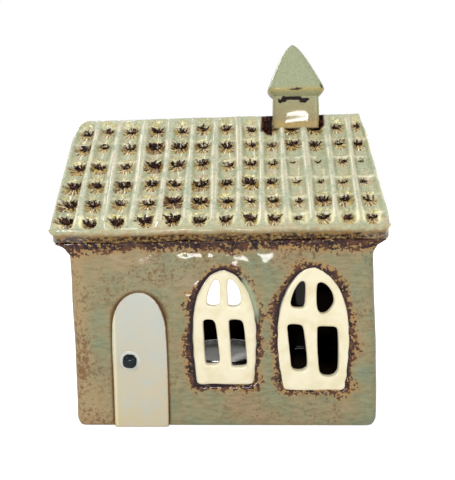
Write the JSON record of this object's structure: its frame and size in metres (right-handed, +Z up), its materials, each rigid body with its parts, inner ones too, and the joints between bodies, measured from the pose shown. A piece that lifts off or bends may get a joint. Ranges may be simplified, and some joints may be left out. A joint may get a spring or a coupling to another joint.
{
  "type": "tealight house",
  "caption": "Glazed stoneware cottage lantern with a tiled roof, capped chimney, arched windows, an arched door, a rear opening and a loose tealight inside.",
  "frame": {"origin": "middle of the base, on the surface that the house stands on", "axes": "+Z up, +X to the right seen from the front, the front wall with the door and windows faces -Y"},
  "size_m": [0.1412, 0.095, 0.1683],
  "materials": {
    "wall_glaze": "mottled olive-brown and grey-green semi-gloss glaze over stoneware",
    "roof_glaze": "glossy pale sage glaze that breaks cream on edges and pools dark brown in the tile steps",
    "oxide_glaze": "rough dark brown iron oxide under a thin glaze",
    "window_glaze": "glossy cream glaze",
    "door_glaze": "glossy pale grey-blue to cream glaze",
    "knob_glaze": "glossy blue-black glaze",
    "cup_aluminium": "bright drawn foil with a rolled rim",
    "paraffin_wax": "translucent white wax with a satin surface",
    "tab_steel": "tinned sheet steel",
    "wick_cotton": "waxed braided cotton"
  },
  "bodies": {
    "house": {"front_wall": "wall_glaze", "back_wall": "wall_glaze", "left_gable_wall": "wall_glaze", "right_gable_wall": "wall_glaze", "floor_slab": "wall_glaze", "front_roof": "roof_glaze", "rear_roof": "roof_glaze", "front_eave_coil": "oxide_glaze", "rear_eave_coil": "oxide_glaze", "left_gable_coil": "oxide_glaze", "right_gable_coil": "oxide_glaze", "chimney_shaft": "roof_glaze", "chimney_cap": "roof_glaze", "left_window": "window_glaze", "right_window": "window_glaze", "door": "door_glaze", "door_knob": "knob_glaze"},
    "tealight": {"tealight_cup": "cup_aluminium", "tealight_wax": "paraffin_wax", "wick_tab": "tab_steel", "tealight_wick": "wick_cotton"}
  },
  "joints": [
    {"name": "tealight_lift", "type": "slide", "parent": "house", "child": "tealight", "axis": [0, 0.8554, 0.518], "range_m": [0, 0.095]}
  ]
}
